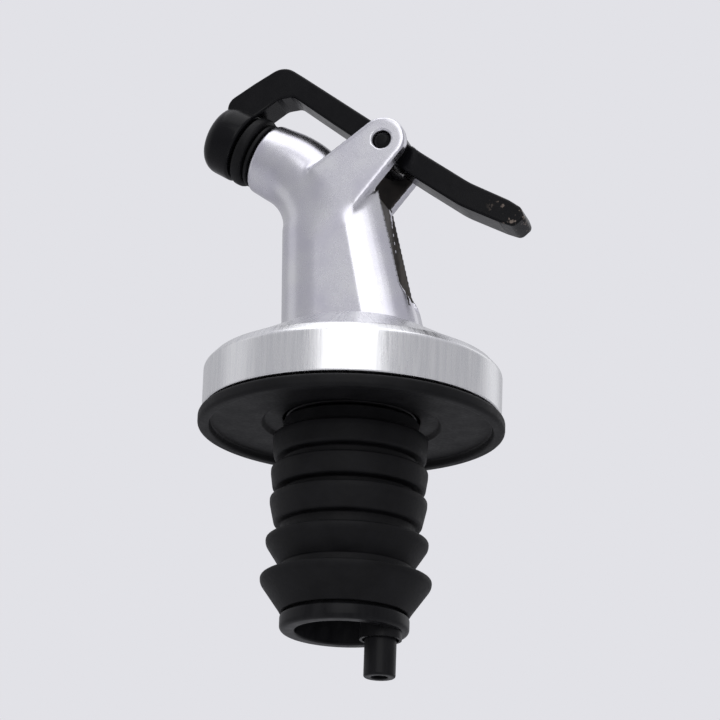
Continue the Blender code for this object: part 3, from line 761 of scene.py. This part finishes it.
def make_plug():
    """Seal with its stem over the mouth, and the loose disc between it and the pad."""
    seal = rounded([(0.0, 5.1, 0.0), (1.3, 5.1, 0.2), (1.3, 0.8, 0.1), (4.1, 0.8, 0.18), (4.1, 0.3, 0.15),
                    (0.0, 0.3, 0.0)], steps=4)
    dress(lathe("mouth_seal_disc", seal, 160, MOUTH), LEVER, "black_rubber", RUBBER, "mouth_seal")
    disc = rounded([(1.6, 2.6, 0.1), (4.45, 2.6, 0.55), (4.45, 1.1, 0.55), (1.6, 1.1, 0.1)], steps=6)
    dress(lathe("plug_disc_ring", disc, 160, MOUTH), LEVER, "black_rubber", RUBBER, "plug_disc")


def spring_route():
    """Middle line of the spring's wire, from the fixed leg to the leg under the tail."""
    radius, turns, per_turn = 1.75, 3.82, 40
    along = Vector((8.8 + 7.0, 0.0, 33.1 - 44.3)).normalized()
    tail = Vector((PIVOT[0] + radius * along.z, SPRING_INNER_Y, PIVOT[1] - radius * along.x))
    last = math.atan2(tail.z - PIVOT[1], tail.x - PIVOT[0])
    first = last - 2 * math.pi * turns
    steps = round(turns * per_turn)
    coil = []
    for i in range(steps + 1):
        angle = first + (last - first) * i / steps
        side = SPRING_OUTER_Y + (SPRING_INNER_Y - SPRING_OUTER_Y) * i / steps
        coil.append(Vector((PIVOT[0] + radius * math.cos(angle), side, PIVOT[1] + radius * math.sin(angle))))
    arrival = Vector((-math.sin(first), 0.0, math.cos(first)))
    fixed_leg = [coil[0] - arrival * 6.1, coil[0] - arrival * 3.0]
    return fixed_leg + coil + [tail + along * 1.8, tail + along * 3.6]


def make_spring():
    """Torsion spring whose turns wind up between the fixed leg and the leg under the tail."""
    route = spring_route()
    curve = bpy.data.curves.new("spring_route", "CURVE")
    curve.dimensions = "3D"
    curve.bevel_depth = 0.19 / MM
    curve.bevel_resolution = 4
    curve.use_fill_caps = True
    spline = curve.splines.new("POLY")
    spline.points.add(len(route) - 1)
    for point, spot in zip(spline.points, route):
        point.co = (*(spot / MM), 1.0)
    guide = add_object("spring_guide", curve)
    bpy.context.view_layer.update()
    spring = add_object("hinge_spring", evaluated_mesh(guide))
    bpy.data.objects.remove(guide, do_unlink=True)
    spring.data.materials.clear()
    spring.data.materials.append(STEEL)
    spring.data.shade_smooth()
    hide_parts("torsion_spring")
    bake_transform(spring)


make_body()
make_base()
make_collar()
make_gasket()
make_core()
make_sleeve()
make_vent_tube()
make_seal()
make_lever()
make_pin()
make_plug()
make_spring()


# ---------------------------------------------------------------- studio
def make_world():
    """Surroundings that brighten from the ground up, with a paler, even tone where the camera sees them."""
    world = bpy.data.worlds.new("studio")
    bpy.context.scene.world = world
    world.use_nodes = True
    tree = world.node_tree
    back = tree.nodes["Background"]
    back.inputs["Strength"].default_value = 1.0
    where = tree.nodes.new("ShaderNodeTexCoord").outputs["Generated"]
    split = tree.nodes.new("ShaderNodeSeparateXYZ")
    tree.links.new(where, split.inputs["Vector"])
    ramp = tree.nodes.new("ShaderNodeValToRGB")
    half = tree.nodes.new("ShaderNodeMapRange")
    half.inputs["From Min"].default_value = -1.0
    half.inputs["From Max"].default_value = 1.0
    tree.links.new(split.outputs["Z"], half.inputs["Value"])
    tree.links.new(half.outputs["Result"], ramp.inputs["Fac"])
    stops = ramp.color_ramp.elements
    stops[0].position, stops[0].color = 0.0, (0.32, 0.32, 0.35, 1)
    stops[1].position, stops[1].color = 1.0, (0.75, 0.75, 0.80, 1)
    for height, grey in ((0.40, 0.42), (0.56, 0.50), (0.75, 0.55)):
        stop = stops.new(height)
        stop.color = (grey, grey, grey * 1.05, 1)
    pale = tree.nodes.new("ShaderNodeRGB")
    pale.outputs[0].default_value = (0.76, 0.76, 0.80, 1)
    seen = tree.nodes.new("ShaderNodeLightPath").outputs["Is Camera Ray"]
    mix = tree.nodes.new("ShaderNodeMix")
    mix.data_type = "RGBA"
    tree.links.new(seen, mix.inputs["Factor"])
    tree.links.new(ramp.outputs["Color"], mix.inputs["A"])
    tree.links.new(pale.outputs[0], mix.inputs["B"])
    tree.links.new(mix.outputs["Result"], back.inputs["Color"])


def add_light(name, azimuth, elevation, distance, width, height, glow):
    """Soft box of an even glow, aimed at the object; sizes in metres.

    Azimuth 0 is in front (-Y), and positive turns towards +X.
    """
    a, e = math.radians(azimuth), math.radians(elevation)
    way = Vector((math.sin(a) * math.cos(e), -math.cos(a) * math.cos(e), math.sin(e)))
    data = bpy.data.lights.new(name, "AREA")
    data.shape = "RECTANGLE"
    data.size = width
    data.size_y = height
    data.energy = glow * math.pi * width * height
    light = add_object(name, data)
    light.location = way * distance + Vector((0, 0, 0.01))
    light.rotation_euler = (-way).to_track_quat("-Z", "Y").to_euler()


def make_floor():
    """Pale round floor, well below the object."""
    bm = bmesh.new()
    bmesh.ops.create_circle(bm, cap_ends=True, radius=4.0, segments=96)
    floor = solid("floor", bm)
    floor.location = (0, 0, -0.30)
    m = Nodes("pale_floor", (0.68, 0.68, 0.69), 0.6)
    grain = m.noise(m.place, 40.0, 3.0)
    m.colour(m.blend(m.spread(grain, 0.0, 1.0), (0.675, 0.675, 0.685), (0.685, 0.685, 0.695)))
    floor.data.materials.append(m.material)


def make_camera():
    """Below the object and a little towards the tail's side, looking up at it with a slight roll."""
    azimuth = math.radians(16.0)
    distance, height = 0.4311, -0.1315
    roll = math.radians(2.0)
    lens = 188.0
    aim = Vector((0.0008, 0.0, 0.0082))
    spot = Vector((distance * math.sin(azimuth), -distance * math.cos(azimuth), height))
    data = bpy.data.cameras.new("camera")
    data.sensor_width = 36.0
    data.lens = lens
    data.clip_start = 0.01
    camera = add_object("camera", data)
    turn = (aim - spot).to_track_quat("-Z", "Y").to_matrix() @ Matrix.Rotation(roll, 3, "Z")
    camera.matrix_world = Matrix.Translation(spot) @ turn.to_4x4()
    bpy.context.scene.camera = camera


make_world()
make_floor()
add_light("front_box", 13, 22, 1.0, 0.78, 0.85, 1.3)
add_light("top_box", 0, 80, 0.9, 0.9, 0.9, 1.0)
add_light("left_box", -85, 15, 1.0, 0.5, 1.1, 0.22)
add_light("back_box", 150, 25, 1.1, 0.5, 0.9, 0.4)
make_camera()

bpy.context.scene.view_settings.view_transform = "Standard"
